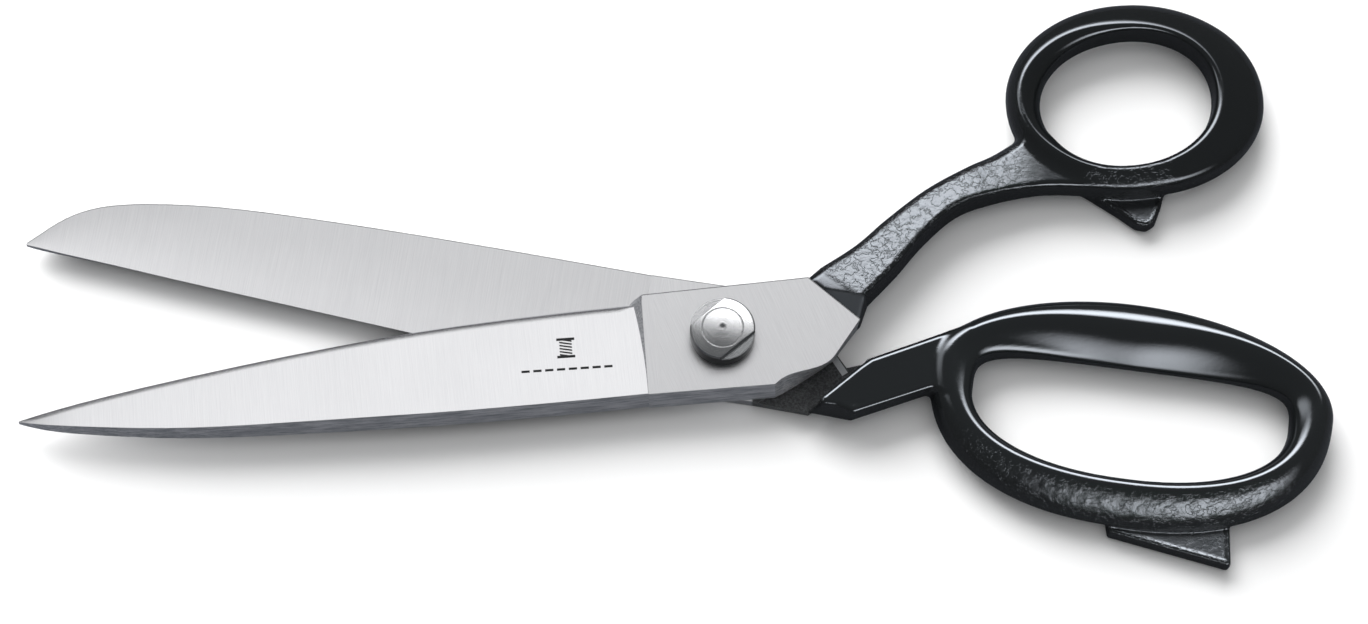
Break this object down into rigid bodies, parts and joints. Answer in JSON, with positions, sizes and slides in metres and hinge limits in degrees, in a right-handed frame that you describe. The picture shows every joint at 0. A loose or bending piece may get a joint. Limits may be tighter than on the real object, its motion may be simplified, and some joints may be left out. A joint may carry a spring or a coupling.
{
  "type": "fabric shears",
  "caption": "Bent-handle tailor's shears, part open: two steel blades on a bolt and domed nut, round thumb bow, long finger bow.",
  "frame": {"origin": "on the pivot axis, in the outer face of the rear pivot plate, where the shears rest on the table", "axes": "+Z along the pivot axis towards the nut; the tips point to -X and the handles to +X, and -X halves the opening at rest"},
  "size_m": [0.2559, 0.1149, 0.0144],
  "materials": {
    "blade_steel": "ground across the blade, fine satin lines",
    "handle_lacquer": "thick gloss black lacquer over a rough casting",
    "pivot_steel": "lathe turned, bright"
  },
  "bodies": {
    "rear_half": {"rear_blade": "blade_steel", "finger_handle": "handle_lacquer", "pivot_bolt": "pivot_steel"},
    "front_half": {"front_blade": "blade_steel", "thumb_handle": "handle_lacquer", "washer": "pivot_steel"},
    "tension_nut": {"pivot_nut": "pivot_steel"}
  },
  "joints": [
    {"name": "blade_pivot", "type": "hinge", "parent": "rear_half", "child": "front_half", "pos_m": [0, 0, 0.005], "axis": [0, 0, 1], "range_deg": [-15.6, 74.4]},
    {"name": "nut_turn", "type": "hinge", "parent": "rear_half", "child": "tension_nut", "pos_m": [0, 0, 0.005], "axis": [0, 0, 1], "range_deg": [-90, 90]}
  ]
}
